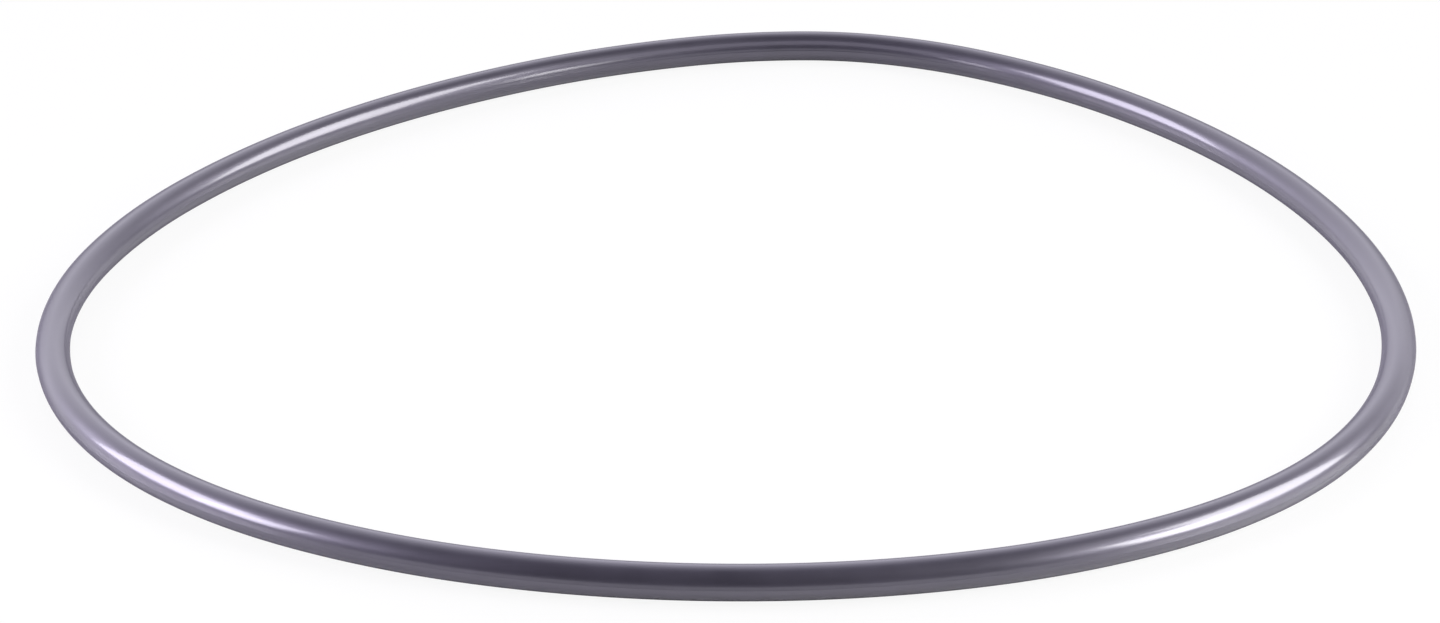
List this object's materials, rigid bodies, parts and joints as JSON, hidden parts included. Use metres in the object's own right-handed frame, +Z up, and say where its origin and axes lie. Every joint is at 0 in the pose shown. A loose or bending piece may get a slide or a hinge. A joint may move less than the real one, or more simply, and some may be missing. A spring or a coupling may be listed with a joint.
{
  "type": "o-ring",
  "caption": "Moulded rubber o-ring: a plain loop of round section that lies flat, a little out of round, and seals a groove between two parts.",
  "frame": {"origin": "centre of the ring's box, on the surface that the ring lies on", "axes": "+Z up through the hole, square to the ring; +X to the right and +Y away in the picture's view"},
  "size_m": [0.1442, 0.1432, 0.0035],
  "materials": {
    "rubber": "satin moulded black rubber with a faint violet-grey bloom"
  },
  "bodies": {
    "root": {"o_ring": "rubber"}
  },
  "joints": []
}
